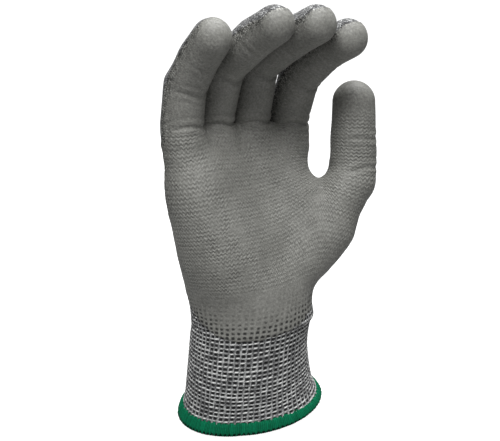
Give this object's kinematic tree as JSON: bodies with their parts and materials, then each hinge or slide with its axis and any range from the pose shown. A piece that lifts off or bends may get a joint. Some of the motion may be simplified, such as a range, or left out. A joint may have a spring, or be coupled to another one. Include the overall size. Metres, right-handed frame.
{
  "type": "cut resistant glove",
  "caption": "Right-hand cut resistant work glove in worn shape: knitted liner, grey film on the palm and fingers, knitted elastic cuff and overlocked hem.",
  "frame": {"origin": "centre of the cuff's opening, at the lower edge of the hem", "axes": "+Z from the cuff towards the fingertips, the palm faces -Y and the thumb is on the +X side (right hand)"},
  "size_m": [0.1141, 0.0734, 0.2159],
  "materials": {
    "knit": "black, white and grey marl knit",
    "cuff_knit": "black, white and grey marl knit, coarser",
    "film": "matt grey polyurethane film",
    "hem": "green overlock thread",
    "elastic": "covered elastic yarn"
  },
  "bodies": {
    "cuff": {"cuff_knit": "cuff_knit", "cuff_elastic": "elastic", "hem_overlock": "hem"},
    "hand": {"palm_knit": "knit", "palm_coating": "film"},
    "little_proximal": {"little_proximal_knit": "knit", "little_proximal_coating": "film"},
    "little_middle": {"little_middle_knit": "knit", "little_middle_coating": "film"},
    "little_tip": {"little_tip_knit": "knit", "little_tip_coating": "film"},
    "ring_proximal": {"ring_proximal_knit": "knit", "ring_proximal_coating": "film"},
    "ring_middle": {"ring_middle_knit": "knit", "ring_middle_coating": "film"},
    "ring_tip": {"ring_tip_knit": "knit", "ring_tip_coating": "film"},
    "middle_proximal": {"middle_proximal_knit": "knit", "middle_proximal_coating": "film"},
    "middle_middle": {"middle_middle_knit": "knit", "middle_middle_coating": "film"},
    "middle_tip": {"middle_tip_knit": "knit", "middle_tip_coating": "film"},
    "index_proximal": {"index_proximal_knit": "knit", "index_proximal_coating": "film"},
    "index_middle": {"index_middle_knit": "knit", "index_middle_coating": "film"},
    "index_tip": {"index_tip_knit": "knit", "index_tip_coating": "film"},
    "thumb_base": {"thumb_base_knit": "knit", "thumb_base_coating": "film"},
    "thumb_tip": {"thumb_tip_knit": "knit", "thumb_tip_coating": "film"}
  },
  "joints": [
    {"name": "wrist_fold", "type": "hinge", "parent": "cuff", "child": "hand", "pos_m": [0, 0, 0.052], "axis": [1, 0, 0], "range_deg": [-12, 12]},
    {"name": "little_base_fold", "type": "hinge", "parent": "hand", "child": "little_proximal", "pos_m": [-0.03124, 0.02805, 0.15308], "axis": [1, 0, 0], "range_deg": [-18, 37]},
    {"name": "little_middle_fold", "type": "hinge", "parent": "little_proximal", "child": "little_middle", "pos_m": [-0.03124, 0.02734, 0.17337], "axis": [1, 0, 0], "range_deg": [-27, 53]},
    {"name": "little_end_fold", "type": "hinge", "parent": "little_middle", "child": "little_tip", "pos_m": [-0.03124, 0.01852, 0.18929], "axis": [1, 0, 0], "range_deg": [-7, 29]},
    {"name": "ring_base_fold", "type": "hinge", "parent": "hand", "child": "ring_proximal", "pos_m": [-0.00988, 0.03071, 0.15222], "axis": [1, 0, 0], "range_deg": [-28, 27]},
    {"name": "ring_middle_fold", "type": "hinge", "parent": "ring_proximal", "child": "ring_middle", "pos_m": [-0.00988, 0.02468, 0.18058], "axis": [1, 0, 0], "range_deg": [-37, 43]},
    {"name": "ring_end_fold", "type": "hinge", "parent": "ring_middle", "child": "ring_tip", "pos_m": [-0.00988, 0.00378, 0.19876], "axis": [1, 0, 0], "range_deg": [-8, 28]},
    {"name": "middle_base_fold", "type": "hinge", "parent": "hand", "child": "middle_proximal", "pos_m": [0.01148, 0.02654, 0.15144], "axis": [1, 0, 0], "range_deg": [-23, 32]},
    {"name": "middle_middle_fold", "type": "hinge", "parent": "middle_proximal", "child": "middle_middle", "pos_m": [0.01148, 0.02286, 0.18141], "axis": [1, 0, 0], "range_deg": [-46, 34]},
    {"name": "middle_end_fold", "type": "hinge", "parent": "middle_middle", "child": "middle_tip", "pos_m": [0.01148, 0.00057, 0.1982], "axis": [1, 0, 0], "range_deg": [-6, 30]},
    {"name": "index_base_fold", "type": "hinge", "parent": "hand", "child": "index_proximal", "pos_m": [0.03284, 0.02039, 0.14997], "axis": [1, 0, 0], "range_deg": [-30, 25]},
    {"name": "index_middle_fold", "type": "hinge", "parent": "index_proximal", "child": "index_middle", "pos_m": [0.03284, 0.0142, 0.17481], "axis": [1, 0, 0], "range_deg": [-31, 49]},
    {"name": "index_end_fold", "type": "hinge", "parent": "index_middle", "child": "index_tip", "pos_m": [0.03284, -0.00206, 0.19108], "axis": [1, 0, 0], "range_deg": [-14, 22]},
    {"name": "thumb_base_fold", "type": "hinge", "parent": "hand", "child": "thumb_base", "pos_m": [0.0558, -0.01048, 0.12939], "axis": [1, 0, 0], "range_deg": [-20, 25]},
    {"name": "thumb_end_fold", "type": "hinge", "parent": "thumb_base", "child": "thumb_tip", "pos_m": [0.0558, -0.00825, 0.14523], "axis": [1, 0, 0], "range_deg": [-12, 32]}
  ]
}
